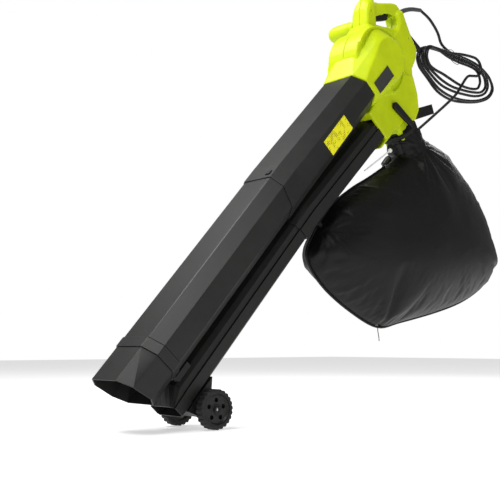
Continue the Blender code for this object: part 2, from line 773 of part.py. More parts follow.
def smooth(route, count):
    """Points on a smooth curve through a route."""
    route = [Vector(point) for point in route]
    ends = [route[0] * 2 - route[1]] + route + [route[-1] * 2 - route[-2]]
    made = []
    for k in range(len(route) - 1):
        a, b, c, d = ends[k:k + 4]
        for i in range(count):
            t = i / count
            made.append(0.5 * (2 * b + (c - a) * t + (2 * a - 5 * b + 4 * c - d) * t * t
                               + (3 * b - a - 3 * c + d) * t ** 3))
    return made + [route[-1]]


def cord(name, route, count=4):
    curve = bpy.data.curves.new(name, "CURVE")
    curve.dimensions = "3D"
    curve.bevel_depth = CORD_D / 2
    curve.bevel_resolution = 2
    curve.use_fill_caps = True
    spline = curve.splines.new("POLY")
    points = smooth(route, count)
    spline.points.add(len(points) - 1)
    for item, point in zip(spline.points, points):
        item.co = (*point, 1.0)
    made = bpy.data.objects.new(name, curve)
    bpy.context.scene.collection.objects.link(made)
    curve.materials.append(rubber())


def cord_parts():
    points = smooth(SLEEVE, 3)
    last = len(points) - 1
    radii = [0.0075 - 0.0018 * k / last for k in range(last + 1)]
    place("cord_sleeve", spun(points, radii), grey_sleeve())
    cord("cord_lead", LEAD)
    cord("cord_tail", TAIL)
    place("cord_hank", prism(HANK, -HANK_HALF, HANK_HALF), rubber())
    end = Vector(TAIL[-1])
    down = (end - Vector(TAIL[-2])).normalized()
    steps = ((0.0003, 0.0055), (0.012, 0.0065), (0.014, 0.0125), (0.022, 0.0165), (0.044, 0.0180), (0.047, 0.0170))
    plug = place("plug", spun([end + down * s for s, _ in steps], [r for _, r in steps]), hard_black())
    foot = end + down * 0.0465
    across = down.cross(SIDE).normalized()
    for sign in (-1, 1):
        root = foot + across * 0.0095 * sign
        join(plug, spun([root - down * 0.004, root + down * 0.019], [0.0024, 0.0024], 10))


def motor():
    """Motor, its cover and its bearings, on the right side of the fan."""
    cover_end = -0.112
    outer = [(-0.0603, 0.053), (cover_end + 0.010, 0.053), (cover_end + 0.003, 0.050), (cover_end, 0.043)]
    made = place("motor_cover", turned(DRUM, outer), lime_plastic(), DRUM)
    cut(made, disc(DRUM, 0.050, -0.1020, -0.03))
    for i in range(7):
        z = DRUM.z - 0.030 + 0.010 * i
        half = math.sqrt(0.040 ** 2 - (z - DRUM.z) ** 2)
        cut(made, block((-0.13, DRUM.y - half, z - 0.0022), (-0.095, DRUM.y + half, z + 0.0022)))
    can = [(-0.020, 0.0075), (-0.020, 0.036), (-0.024, MOTOR_R), (-0.088, MOTOR_R), (-0.092, 0.036), (-0.092, 0.0075)]
    inside = [(-0.0850, 0.0075), (-0.0850, 0.032), (-0.028, 0.032), (-0.028, 0.0075)]
    place("motor_body", turned_ring(DRUM, can + inside), steel(), DRUM)
    for name, low, high in (("front_bearing", -0.0279, -0.0212), ("rear_bearing", -0.0918, -0.0851)):
        ring = [(low, 0.0040 + GAP), (high, 0.0040 + GAP), (high, 0.0072), (low, 0.0072)]
        place(name, turned_ring(DRUM, ring, SMALL_ROUND), steel(), DRUM)
    shaft = [(-0.1000, 0.004), (-0.084, 0.004), (-0.082, 0.024), (-0.034, 0.028), (-0.032, 0.004), (0.0475, 0.004)]
    place("armature", turned(DRUM, shaft, SMALL_ROUND), copper_brown(), DRUM)


def impeller():
    """Back disc with eight swept blades."""
    hub = [(-0.009, 0.0040 + GAP), (-0.009, FAN_R), (-0.006, FAN_R), (-0.003, 0.018), (0.0365, 0.012),
           (0.0365, 0.0040 + GAP)]
    made = place("impeller", turned_ring(DRUM, hub), steel(), DRUM)
    for i in range(8):
        turn = Matrix.Rotation(2 * math.pi * i / 8, 4, "X")
        blade = block((-0.0075, -0.0015, 0.013), (0.036, 0.0015, FAN_R - 0.002))
        for v in blade.verts:
            if v.co.z > 0.05:
                v.co.y -= 0.018
                v.co.x -= 0.008 if v.co.x > 0 else 0.0
        blade.transform(Matrix.Translation(DRUM) @ turn)
        join(made, blade)
    blade = block((0.0368, -0.036, -0.006), (0.0388, 0.036, 0.006))
    blade.transform(Matrix.Translation(DRUM))
    cutter = place("shredder_blade", blade, steel(), DRUM)
    cut(cutter, disc(DRUM, 0.0040 + GAP, 0.0, 0.06, SMALL_ROUND))
    nut = place("impeller_nut", turned(DRUM, [(0.0391, 0.0080), (0.0455, 0.0080)], 6), steel(), DRUM)
    cut(nut, disc(DRUM, 0.0040 + GAP, 0.0, 0.06, SMALL_ROUND))
    fan = [(-0.0995, 0.0040 + GAP), (-0.0995, 0.030), (-0.0945, 0.030), (-0.0945, 0.0040 + GAP)]
    place("cooling_fan", turned_ring(DRUM, fan, SMALL_ROUND), hard_black(), DRUM)


# --- controls -----------------------------------------------------------------------------------
TRIGGER_PIVOT = Vector((0.0, -0.036, -0.0150))
LOCK_AT = Vector((-0.018, 0.030, 0.0065))
DIAL_AT = Vector((-0.028, 0.0715, -0.0420))
MODE_PIVOT = tube_point(0.0, 1.0455, 0.053)
LEVER_TIP = (0.066, -0.344)
SCREWS = ((-0.075, -0.030), (0.090, -0.070), (0.100, -0.195), (0.088, -0.280))


def trigger():
    outline = [(-0.040, -0.0115), (-0.032, -0.0115), (0.010, -0.0068), (0.023, -0.0110), (0.0215, -0.0255),
               (0.004, -0.0315), (-0.022, -0.0390), (-0.036, -0.0390), (-0.0405, -0.0320)]
    made = place("trigger", prism(outline, -0.0068, 0.0068), hard_black(), TRIGGER_PIVOT)
    soften(made, 0.0012, 1, 50)
    switch = block((-0.0115, -0.0300, -0.0020), (0.0115, 0.0200, 0.0030))
    place("switch_body", switch, hard_black())


def lock_button():
    profile = [(-0.0135, 0.0052), (-0.0205, 0.0052), (-0.0215, 0.0042)]
    place("lock_button", turned(LOCK_AT, profile, SMALL_ROUND), hard_black(), LOCK_AT)


def speed_dial():
    profile = [(-0.0245, 0.0120), (-0.0300, 0.0120), (-0.0315, 0.0105)]
    made = place("speed_dial", turned(DIAL_AT, profile, SMALL_ROUND), hard_black(), DIAL_AT)
    cut(made, block((-0.04, DIAL_AT.y - 0.0008, DIAL_AT.z + 0.002), (-0.0308, DIAL_AT.y + 0.0008, DIAL_AT.z + 0.009)))


def mode_gear():
    """The lever on the left side and the butterfly flap that it turns, on one shaft."""
    tip = Vector((0.0, *LEVER_TIP))
    along = (tip - MODE_PIVOT).normalized()
    across = Vector((0.0, -along.z, along.y))
    start = math.degrees(math.atan2(across.z, across.y))
    outline = arc((MODE_PIVOT.y, MODE_PIVOT.z), 0.0115, start, start + 180, 8)
    for sign in (-1, 1):
        corner = tip + across * 0.0095 * sign
        outline.append((corner.y, corner.z))
    shape = softened(prism(outline, 0.0506, 0.0590), 0.0015, 1)
    lever = place("mode_lever", shape, hard_black(), MODE_PIVOT)
    join(lever, disc(MODE_PIVOT, 0.0038, -0.0480, 0.0550, SMALL_ROUND))
    corners = []
    for d, s in ((0.030, -0.0011), (0.030, 0.0011), (-0.030, 0.0011), (-0.030, -0.0011)):
        corners.append(MODE_PIVOT + OVER * d + ALONG * s)
    flap = place("mode_flap", loft([[c + SIDE * x for c in corners] for x in (-0.037, 0.037)]), hard_black(), MODE_PIVOT)
    sleeve = softened(disc(MODE_PIVOT, 0.0065, -0.037, 0.037, SMALL_ROUND), 0.0005, 1)
    join(flap, sleeve)
    cut(flap, disc(MODE_PIVOT, 0.0038 + GAP, -0.05, 0.05, SMALL_ROUND))


def place_screw(index, at, left, right):
    """A countersunk screw from the left into the right half."""
    head = 0.0265
    shaft = [(-0.012, 0.0014), (head - 0.004, 0.0014), (head - 0.004, 0.0028), (head - 0.0015, 0.0028)]
    place(f"housing_screw_{index + 1}", turned(at, shaft, 10), steel(), at)
    room = [(-0.0125, 0.0014 + GAP), (head - 0.004 - GAP, 0.0014 + GAP), (head - 0.004 - GAP, 0.0028 + GAP),
            (head + 0.02, 0.0028 + GAP)]
    cut(left, turned(at, room, 10))
    cut(right, turned(at, [(-0.0125, 0.0017), (0.01, 0.0017)], 10))


def build():
    clear_scene()
    nozzle_tip()
    lower_suction_tube()
    upper_suction_tube()
    blower_nozzle()
    lower_blower_tube()
    upper_blower_tube()
    tube_clips()
    tube_catch()
    axle_bracket()
    axle()
    for name, sign in (("left", 1), ("right", -1)):
        wheel(name, sign)
    housings()
    inlet_hood()
    badge()
    warning_label()
    aux_handle()
    cord_hook()
    bag_spout()
    motor()
    impeller()
    trigger()
    lock_button()
    speed_dial()
    mode_gear()
    bag()
    bag_hanger()
    neck_strap()
    zip_pull()
    cord_parts()


build()
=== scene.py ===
"""Leaf vacuum mulcher: moulded shells, twin tubes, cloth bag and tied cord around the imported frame.

Metres, +Z up, +X to the tool's left, +Y to its rear; the origin is the middle of the grip.
"""

import json
import math

import bmesh
import bpy
import numpy as np
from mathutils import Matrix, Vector, noise


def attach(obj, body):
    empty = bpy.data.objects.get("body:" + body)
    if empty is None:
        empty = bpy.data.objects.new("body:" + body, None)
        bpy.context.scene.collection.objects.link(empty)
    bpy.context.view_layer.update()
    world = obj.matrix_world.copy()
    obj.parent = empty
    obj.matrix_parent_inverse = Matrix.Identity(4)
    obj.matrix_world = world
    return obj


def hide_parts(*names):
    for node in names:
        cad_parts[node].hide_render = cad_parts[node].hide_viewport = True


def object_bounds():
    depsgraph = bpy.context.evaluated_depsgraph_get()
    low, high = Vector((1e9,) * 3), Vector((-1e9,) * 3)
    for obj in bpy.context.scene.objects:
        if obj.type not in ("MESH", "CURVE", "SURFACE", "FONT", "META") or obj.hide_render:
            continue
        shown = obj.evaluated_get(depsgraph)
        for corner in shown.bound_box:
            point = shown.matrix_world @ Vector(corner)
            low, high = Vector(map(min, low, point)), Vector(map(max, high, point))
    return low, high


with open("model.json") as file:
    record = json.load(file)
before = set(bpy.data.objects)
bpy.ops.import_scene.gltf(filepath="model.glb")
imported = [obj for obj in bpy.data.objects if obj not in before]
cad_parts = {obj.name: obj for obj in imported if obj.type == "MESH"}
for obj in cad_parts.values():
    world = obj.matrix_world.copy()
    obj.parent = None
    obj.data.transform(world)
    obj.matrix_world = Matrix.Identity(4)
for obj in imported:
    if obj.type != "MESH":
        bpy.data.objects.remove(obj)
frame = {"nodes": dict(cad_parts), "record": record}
CAD_BOX = [list(corner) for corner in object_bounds()]

# --- measures shared with the solids ------------------------------------------------------------
PITCH = math.radians(48.2)
AXLE = Vector((0.0, -0.665, -1.115))
SIDE = Vector((1.0, 0.0, 0.0))
ALONG = Vector((0.0, math.cos(PITCH), math.sin(PITCH)))
OVER = Vector((0.0, -math.sin(PITCH), math.cos(PITCH)))
DRUM = Vector((0.0, -0.063, -0.180))
DRUM_R = 0.100
DRUM_FACE = 0.052

CAMERA_AT = Vector((1.6221, -1.8747, -0.9743))
CAMERA_LOOK = Vector((-0.7586, 0.6423, 0.1095))
FOCAL_SHARE = 870.0 / 500.0           # focal length over frame width
SENSOR = 36.0

FLOOR_Z = CAD_BOX[0][2] - 0.0005

EDGE_RADII = {
    "nozzle_tip": 0.0008, "lower_suction_tube": 0.0009, "upper_suction_tube": 0.0012,
    "blower_nozzle": 0.0007, "lower_blower_tube": 0.0007, "upper_blower_tube": 0.0009,
    "front_tube_clip": 0.0008, "middle_tube_clip": 0.0006, "tube_latch": 0.0010, "tube_catch": 0.0006,
    "mode_lever": 0.0012, "axle_bracket": 0.0008, "trigger": 0.0010}


def tube_point(x, a, n):
    """A point given across, up along and square to the tubes, from the axle."""
    return AXLE + SIDE * x + ALONG * a + OVER * n


# --- camera -------------------------------------------------------------------------------------
def make_camera():
    lens = bpy.data.cameras.new("camera")
    lens.sensor_width = SENSOR
    lens.lens = FOCAL_SHARE * SENSOR
    lens.clip_end = 60.0
    camera = bpy.data.objects.new("camera", lens)
    bpy.context.scene.collection.objects.link(camera)
    camera.location = CAMERA_AT
    camera.rotation_euler = CAMERA_LOOK.to_track_quat("-Z", "Y").to_euler()
    bpy.context.scene.camera = camera


# --- shader maths -------------------------------------------------------------------------------
class Shade:
    """A shader socket that takes part in Python expressions."""

    def __init__(self, finish, socket):
        self.finish = finish
        self.socket = socket

    def math(self, operation, *others, clamp=False):
        settings = {"operation": operation, "use_clamp": clamp}
        return self.finish.add("ShaderNodeMath", settings, dict(enumerate((self, *others))))

    def __add__(self, other):
        return self.math("ADD", other)

    __radd__ = __add__

    def __mul__(self, other):
        return self.math("MULTIPLY", other)

    __rmul__ = __mul__

    def __sub__(self, other):
        return self.math("SUBTRACT", other)

    def __rsub__(self, other):
        return (self * -1.0) + other

    def clamped(self):
        return self.math("ADD", 0.0, clamp=True)

    def between(self, low, high):
        """0 below low, 1 above high, smooth in between."""
        return self.finish.add(
            "ShaderNodeMapRange", {"interpolation_type": "SMOOTHSTEP"}, {0: self, 1: low, 2: high})


class Finish:
    """One procedural material: fixed values on the shader, patterns through nodes."""

    def __init__(self, name, **fixed):
        self.material = bpy.data.materials.new(name)
        self.material.use_nodes = True
        self.tree = self.material.node_tree
        self.shader = self.tree.nodes["Principled BSDF"]
        for socket, value in fixed.items():
            self.shader.inputs[socket.replace("_", " ")].default_value = value
        self.place = self.add("ShaderNodeTexCoord", output="Object")

    def add(self, kind, settings=None, inputs=None, output=0):
        """A node of this kind: its settings first, then the values or links of its sockets."""
        node = self.tree.nodes.new(kind)
        settings = dict(settings or {})
        stops = settings.pop("stops", None)
        for key, value in settings.items():
            setattr(node, key, value)
        if stops:
            for item, (at, colour) in zip(node.color_ramp.elements, stops):
                item.position, item.color = at, (*colour, 1.0)
        for key, value in (inputs or {}).items():
            if isinstance(value, Shade):
                self.tree.links.new(value.socket, node.inputs[key])
            else:
                node.inputs[key].default_value = value
        return Shade(self, node.outputs[output])

    def set(self, **sockets):
        for name, value in sockets.items():
            self.tree.links.new(value.socket, self.shader.inputs[name.replace("_", " ")])
        return self

    def moved(self, scale=(1.0, 1.0, 1.0), turn=(0.0, 0.0, 0.0)):
        return self.add("ShaderNodeMapping", {}, {"Vector": self.place, "Scale": scale, "Rotation": turn})

    def cloud(self, scale, detail=3.0, rough=0.5, at=None):
        """Noise from 0 to 1, with scale in cycles a metre."""
        return self.add("ShaderNodeTexNoise", {}, {
            "Vector": at or self.place, "Scale": scale, "Detail": detail, "Roughness": rough}, "Fac")

    def cells(self, scale, at=None):
        return self.add("ShaderNodeTexVoronoi", {"feature": "F1"}, {
            "Vector": at or self.place, "Scale": scale}, "Distance")

    def bands(self, scale, direction, at=None, distortion=0.0):
        return self.add("ShaderNodeTexWave", {"bands_direction": direction}, {
            "Vector": at or self.place, "Scale": scale, "Distortion": distortion, "Detail": 1.0}, "Fac")

    def blend(self, factor, low, high):
        """Mixes two colours."""
        inputs = {0: factor}
        for key, value in ((6, low), (7, high)):
            inputs[key] = value if isinstance(value, Shade) else (*value, 1.0)
        return self.add("ShaderNodeMix", {"data_type": "RGBA"}, inputs, 2)

    def bump(self, height, depth, strength=1.0, under=None):
        """A normal from a height of 0 to 1 that stands for a depth in metres."""
        inputs = {"Height": height, "Distance": depth, "Strength": strength}
        if under is not None:
            inputs["Normal"] = under
        return self.add("ShaderNodeBump", {}, inputs)


def scuffs(finish, scale=55.0):
    """Fine scratches that run mostly one way."""
    lines = finish.cloud(scale, 5.0, 0.65, finish.moved((0.25, 1.0, 6.0), (0.5, 0.3, 0.2)))
    return lines.between(0.56, 0.72)


def moulded(name, dark, light, rough, grain_depth=0.00006, **fixed):
    """Injection-moulded plastic: spark-eroded grain, faint flow clouds and handling scuffs."""
    finish = Finish(name, **fixed)
    cloud = finish.cloud(7.0, 4.0, 0.55)
    patch = finish.cloud(38.0, 3.0, 0.5)
    grain = finish.cells(1500.0) + finish.cloud(900.0, 2.0, 0.6) * 0.5
    rubbed = scuffs(finish)
    colour = finish.blend((cloud * 0.7 + patch * 0.3).between(0.30, 0.70), dark, light)
    roughness = (cloud - 0.5) * 0.10 + patch * 0.05 - rubbed * 0.07 + rough
    return finish.set(
        Base_Color=colour, Roughness=roughness.clamped(),
        Normal=finish.bump(grain, grain_depth, 0.8, finish.bump(patch, 0.00025, 0.4)))


def lime_shell():
    return moulded(
        "lime_shell", (0.53, 0.66, 0.001), (0.62, 0.76, 0.002), 0.40, 0.00003,
        Specular_IOR_Level=0.22, Coat_Weight=0.03, Coat_Roughness=0.3)


def tube_black():
    return moulded(
        "tube_black", (0.009, 0.0095, 0.0085), (0.015, 0.0155, 0.014), 0.42, 0.00005,
        Specular_IOR_Level=0.34)


def hard_black():
    return moulded(
        "hard_black", (0.005, 0.005, 0.0055), (0.010, 0.010, 0.0105), 0.44, 0.00004,
        Specular_IOR_Level=0.32)


def tyre_rubber():
    finish = Finish("tyre_rubber", Specular_IOR_Level=0.35)
    dust = finish.cloud(60.0, 4.0, 0.6).between(0.45, 0.75)
    colour = finish.blend(dust, (0.010, 0.010, 0.0105), (0.030, 0.029, 0.027))
    grain = finish.cloud(700.0, 3.0, 0.7)
    return finish.set(
        Base_Color=colour, Roughness=dust * 0.15 + 0.62, Normal=finish.bump(grain, 0.0001, 0.8))


def cord_rubber(name="cord_rubber", dark=(0.0025, 0.0025, 0.0042), light=(0.005, 0.005, 0.008), rough=0.33):
    finish = Finish(name, Specular_IOR_Level=0.34)
    cloud = finish.cloud(45.0, 3.0, 0.5)
    grain = finish.cloud(1100.0, 2.0, 0.6)
    return finish.set(
        Base_Color=finish.blend(cloud, dark, light), Roughness=cloud * 0.12 + rough,
        Normal=finish.bump(grain, 0.00004, 0.6))


def grey_rubber():
    return cord_rubber("grey_rubber", (0.055, 0.055, 0.058), (0.085, 0.085, 0.088), 0.45)


def brushed(name, dark, light, rough):
    finish = Finish(name, Metallic=1.0)
    lines = finish.cloud(240.0, 3.0, 0.7, finish.moved((8.0, 1.0, 1.0)))
    stain = finish.cloud(30.0, 3.0)
    return finish.set(
        Base_Color=finish.blend(stain, dark, light), Roughness=lines * 0.18 + rough,
        Normal=finish.bump(lines, 0.00003, 0.5))


def copper_winding():
    finish = Finish("copper_winding", Metallic=0.9)
    wires = finish.bands(330.0, "Y")
    stain = finish.cloud(80.0)
    colour = finish.blend(stain, (0.42, 0.15, 0.05), (0.62, 0.28, 0.12))
    return finish.set(Base_Color=colour, Roughness=stain * 0.2 + 0.3, Normal=finish.bump(wires, 0.0003, 0.8))


def woven(name, dark, light, pitch, rough=0.72, depth=0.00022, **fixed):
    """Plain weave in two diagonal thread directions, with a slub and a worn sheen."""
    finish = Finish(name, **fixed)
    threads = []
    for turn in (0.0, math.pi / 2):
        along = finish.moved((1.0, 1.0, 1.0), (turn, 0.0, turn * 0.5))
        threads.append(finish.bands(pitch, "DIAGONAL", along))
    weave = threads[0] * 0.5 + threads[1] * 0.5
    slub = finish.cloud(90.0, 4.0, 0.6)
    worn = finish.cloud(12.0, 3.0, 0.5)
    colour = finish.blend((weave * 0.25 + slub * 0.35 + worn * 0.4).between(0.3, 0.7), dark, light)
    fine = finish.bump(weave, depth, 0.7, finish.bump(slub, 0.0006, 0.35))
    return finish.set(Base_Color=colour, Roughness=(worn - 0.5) * 0.18 + slub * 0.06 + rough, Normal=fine)


def bag_nylon():
    return woven("bag_nylon", (0.0016, 0.0016, 0.0015), (0.0036, 0.0036, 0.0034), 420.0, 0.42, 0.00010,
                 Specular_IOR_Level=0.24, Sheen_Weight=0.02, Sheen_Roughness=0.4)


def webbing():
    return woven(
        "webbing", (0.006, 0.006, 0.006), (0.014, 0.014, 0.0135), 260.0, 0.6, 0.0004,
        Specular_IOR_Level=0.3)


def sticker():
    """Yellow printed film with a dark rule and a few plain blocks, no letters."""
    finish = Finish("sticker")
    cloud = finish.cloud(60.0, 3.0)
    rows = finish.bands(75.0, "Z", finish.moved(turn=(-PITCH, 0.0, 0.0))).between(0.52, 0.62)
    blocks = finish.cloud(230.0, 1.0, 0.5, finish.moved((1.0, 1.0, 0.25))).between(0.47, 0.52)
    area = finish.cloud(38.0, 1.0).between(0.47, 0.52)
    ink = rows * blocks * area
    base = finish.blend(cloud, (0.92, 0.86, 0.004), (0.99, 0.95, 0.010))
    return finish.set(
        Base_Color=finish.blend(ink * 0.8, base, (0.10, 0.09, 0.01)), Roughness=cloud * 0.1 + 0.33,
        Normal=finish.bump(cloud, 0.0001, 0.4))


def badge_plate():
    finish = Finish("badge_plate", Coat_Weight=0.4, Coat_Roughness=0.1)
    lines = finish.bands(90.0, "Z")
    cloud = finish.cloud(120.0, 3.0)
    colour = finish.blend(lines * 0.35 + cloud * 0.3, (0.016, 0.016, 0.014), (0.060, 0.060, 0.050))
    return finish.set(Base_Color=colour, Roughness=cloud * 0.2 + 0.25, Normal=finish.bump(cloud, 0.0001, 0.3))


def bead_white():
    return moulded("bead_white", (0.74, 0.74, 0.73), (0.84, 0.84, 0.83), 0.32, 0.00002)


def pale_floor():
    finish = Finish("pale_floor", Emission_Color=(1.0, 1.0, 1.0, 1.0), Emission_Strength=0.52)
    cloud = finish.cloud(1.3, 4.0)
    colour = finish.blend(cloud, (0.74, 0.74, 0.74), (0.80, 0.80, 0.80))
    return finish.set(Base_Color=colour, Roughness=cloud * 0.1 + 0.75)


FINISHES = {
    "lime_plastic": lime_shell(), "black_plastic": tube_black(), "hard_black": hard_black(),
    "rubber": tyre_rubber(), "grey_sleeve": grey_rubber(),
    "steel": brushed("brushed_steel", (0.45, 0.45, 0.46), (0.62, 0.62, 0.63), 0.22),
    "copper_brown": copper_winding(), "bag_fabric": bag_nylon(), "yellow_label": sticker(),
    "white_plastic": bead_white(), "badge_plate": badge_plate(), "webbing": webbing(), "cord": cord_rubber()}


# --- meshes -------------------------------------------------------------------------------------
def piece(name, shape, finish, body="frame", smooth=True):
    """A named object from a bmesh in row coordinates, riding on a body."""
    bmesh.ops.recalc_face_normals(shape, faces=shape.faces)
    mesh = bpy.data.meshes.new(name)
    shape.to_mesh(mesh)
    shape.free()
    return finished(bpy.data.objects.new(name, mesh), finish, body, smooth)


def finished(made, finish, body="frame", smooth=True):
    if made.name not in bpy.context.scene.collection.objects:
        bpy.context.scene.collection.objects.link(made)
    made.data.materials.clear()
    made.data.materials.append(FINISHES[finish].material)
    if smooth and made.type == "MESH":
        made.data.polygons.foreach_set("use_smooth", [True] * len(made.data.polygons))
    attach(made, body)
    return made


def loft(rings, into=None, caps=True, closed=True):
    shape = into or bmesh.new()
    made = [[shape.verts.new(point) for point in ring] for ring in rings]
    count = len(rings[0])
    for near, far in zip(made, made[1:]):
        for i in range(count if closed else count - 1):
            j = (i + 1) % count
            shape.faces.new((near[i], near[j], far[j], far[i]))
    if caps:
        shape.faces.new(list(reversed(made[0])))
        shape.faces.new(made[-1])
    return shape


def circle(radius, count, start=0.0):
    steps = (start + 2 * math.pi * i / count for i in range(count))
    return [(radius * math.cos(t), radius * math.sin(t)) for t in steps]


def smooth_route(route, count, closed=False):
    """Points on a smooth curve through a route."""
    route = [Vector(point) for point in route]
    if closed:
        ends = [route[-1], *route, route[0], route[1]]
    else:
        ends = [route[0] * 2 - route[1], *route, route[-1] * 2 - route[-2]]
    made = []
    for k in range(len(ends) - 3):
        a, b, c, d = ends[k:k + 4]
        for i in range(count):
            t = i / count
            made.append(0.5 * (2 * b + (c - a) * t + (2 * a - 5 * b + 4 * c - d) * t * t
                               + (3 * b - a - 3 * c + d) * t ** 3))
    return made if closed else [*made, route[-1]]


def rod(points, radius, count=12, into=None):
    """A round solid along a path; radius is one number or one for each point."""
    radii = [radius] * len(points) if isinstance(radius, float) else radius
    rings = []
    side = None
    for k, point in enumerate(points):
        ahead = (points[min(k + 1, len(points) - 1)] - points[max(k - 1, 0)]).normalized()
        if side is None:
            side = SIDE if abs(ahead.x) < 0.9 else Vector((0.0, 0.0, 1.0))
        side = (side - ahead * side.dot(ahead)).normalized()
        other = ahead.cross(side)
        rings.append([point + side * p + other * q for p, q in circle(radii[k], count)])
    return loft(rings, into)


def copy_of(*nodes):
    """The meshes of CAD nodes, in row coordinates."""
    shape = bmesh.new()
    for name in nodes:
        source = frame["nodes"][name]
        mesh = source.data.copy()
        mesh.transform(source.matrix_world)
        shape.from_mesh(mesh)
        bpy.data.meshes.remove(mesh)
    bmesh.ops.remove_doubles(shape, verts=shape.verts, dist=1e-6)
    return shape


def settle(made):
    """Applies an object's modifiers."""
    bpy.context.view_layer.update()
    graph = bpy.context.evaluated_depsgraph_get()
    mesh = bpy.data.meshes.new_from_object(made.evaluated_get(graph))
    made.modifiers.clear()
    made.data = mesh
    return made


def melted(name, shape, finish, voxel, rounds, factor=0.5, body="frame"):
    """A moulding with soft edges: the solids are fused and their corners relaxed."""
    made = bpy.data.objects.new(name, bpy.data.meshes.new(name))
    shape.to_mesh(made.data)
    shape.free()
    bpy.context.scene.collection.objects.link(made)
    remesh = made.modifiers.new("fuse", "REMESH")
    remesh.mode = "VOXEL"
    remesh.voxel_size = voxel
    relax = made.modifiers.new("relax", "SMOOTH")
    relax.factor = factor
    relax.iterations = rounds
    settle(made)
    return finished(made, finish, body, True)


# --- carried-over nodes -------------------------------------------------------------------------
def dress_nodes():
    """Every CAD node that stays gets its finish, and crisp mouldings get a small edge radius."""
    slots = {part["node"]: part["material_slot"] for part in frame["record"]["subparts"]}
    special = {"badge": "badge_plate", "neck_strap": "webbing", "bag_loop": "webbing", "cord_lead": "cord",
               "cord_tail": "cord", "cord_hank": "cord"}
    for name, node in frame["nodes"].items():
        finish = FINISHES[special.get(name, slots[name])]
        if node.data.materials:
            for k in range(len(node.data.materials)):
                node.data.materials[k] = finish.material
        else:
            node.data.materials.append(finish.material)
        width = EDGE_RADII.get(name)
        if width:
            weld = node.modifiers.new("weld", "WELD")
            weld.merge_threshold = 0.00002
            bevel = node.modifiers.new("edges", "BEVEL")
            bevel.width = width
            bevel.segments = 2
            bevel.limit_method = "ANGLE"
            bevel.angle_limit = math.radians(24.0)
            bevel.harden_normals = False


# --- light and floor ----------------------------------------------------------------------------
def make_stage():
    shape = bmesh.new()
    for x, y in ((-9.0, -9.0), (9.0, -9.0), (9.0, 9.0), (-9.0, 9.0)):
        shape.verts.new((x, y, FLOOR_Z))
    shape.faces.new(shape.verts)
    mesh = bpy.data.meshes.new("floor")
    shape.to_mesh(mesh)
    shape.free()
    floor = bpy.data.objects.new("floor", mesh)
    bpy.context.scene.collection.objects.link(floor)
    floor.data.materials.append(pale_floor().material)


def lamp(name, at, target, size, power):
    light = bpy.data.lights.new(name, "AREA")
    light.shape = "RECTANGLE"
    light.size, light.size_y = size
    light.energy = power
    made = bpy.data.objects.new(name, light)
    made.location = at
    made.rotation_euler = (Vector(target) - Vector(at)).to_track_quat("-Z", "Y").to_euler()
    bpy.context.scene.collection.objects.link(made)


def make_lights():
    world = bpy.data.worlds.new("studio")
    bpy.context.scene.world = world
    world.use_nodes = True
    tree = world.node_tree
    back = tree.nodes["Background"]
    path = tree.nodes.new("ShaderNodeLightPath")
    mix = tree.nodes.new("ShaderNodeMix")
    mix.inputs[2].default_value, mix.inputs[3].default_value = 0.25, 1.0
    tree.links.new(path.outputs["Is Camera Ray"], mix.inputs[0])
    tree.links.new(mix.outputs[0], back.inputs["Strength"])
    back.inputs["Color"].default_value = (1.0, 1.0, 1.0, 1.0)
    middle = (0.0, -0.25, -0.55)
    lamp("key", (0.5, -2.3, 2.1), middle, (1.4, 1.4), 74.0)
    lamp("top", (-1.3, -1.5, 1.8), middle, (1.6, 1.0), 56.0)
    lamp("fill", (2.8, 0.5, 0.3), middle, (1.6, 1.6), 7.0)
    lamp("rear", (-1.2, 2.2, 1.0), middle, (1.6, 1.2), 20.0)


# --- cord ---------------------------------------------------------------------------------------
CORD_D = 0.0085
LEAD = ((0.0, 0.1845, 0.0460), (0.0, 0.228, 0.028), (-0.002, 0.267, -0.003), (-0.008, 0.296, -0.0345))
TAIL = ((0.0270, 0.375, -0.130), (0.0270, 0.340, -0.168), (0.0270, 0.303, -0.208), (-0.012, 0.260, -0.262),
        (-0.060, 0.225, -0.312), (-0.098, 0.190, -0.352), (-0.110, 0.174, -0.384))
OUTER_TURN = (
    (0.240, -0.056), (0.300, -0.048), (0.365, -0.047), (0.430, -0.050), (0.495, -0.059), (0.552, -0.083),
    (0.577, -0.118), (0.552, -0.153), (0.500, -0.178), (0.430, -0.193), (0.350, -0.199), (0.280, -0.186),
    (0.228, -0.152), (0.190, -0.125), (0.172, -0.096), (0.196, -0.068))
INNER_TURN = (
    (0.236, -0.068), (0.290, -0.079), (0.345, -0.085), (0.400, -0.088), (0.437, -0.094), (0.461, -0.113),
    (0.458, -0.140), (0.432, -0.157), (0.388, -0.161), (0.342, -0.157), (0.302, -0.150), (0.262, -0.142),
    (0.222, -0.134), (0.186, -0.119), (0.172, -0.094), (0.196, -0.069))
TURN_SIZES = (0.0, 0.10, 0.42, 0.66, 1.0)      # how far each turn lies from the outer one to the inner one
LANES = (-0.0170, -0.0085, 0.0, 0.0085, 0.0170)
CROSSOVER = (
    (0.0190, 0.300, -0.066), (0.0215, 0.360, -0.059), (0.0240, 0.404, -0.057), (0.0260, 0.436, -0.060),
    (0.0270, 0.458, -0.076), (0.0270, 0.459, -0.099), (0.0270, 0.436, -0.115), (0.0270, 0.404, -0.121))
LEAST_BEND = 0.029


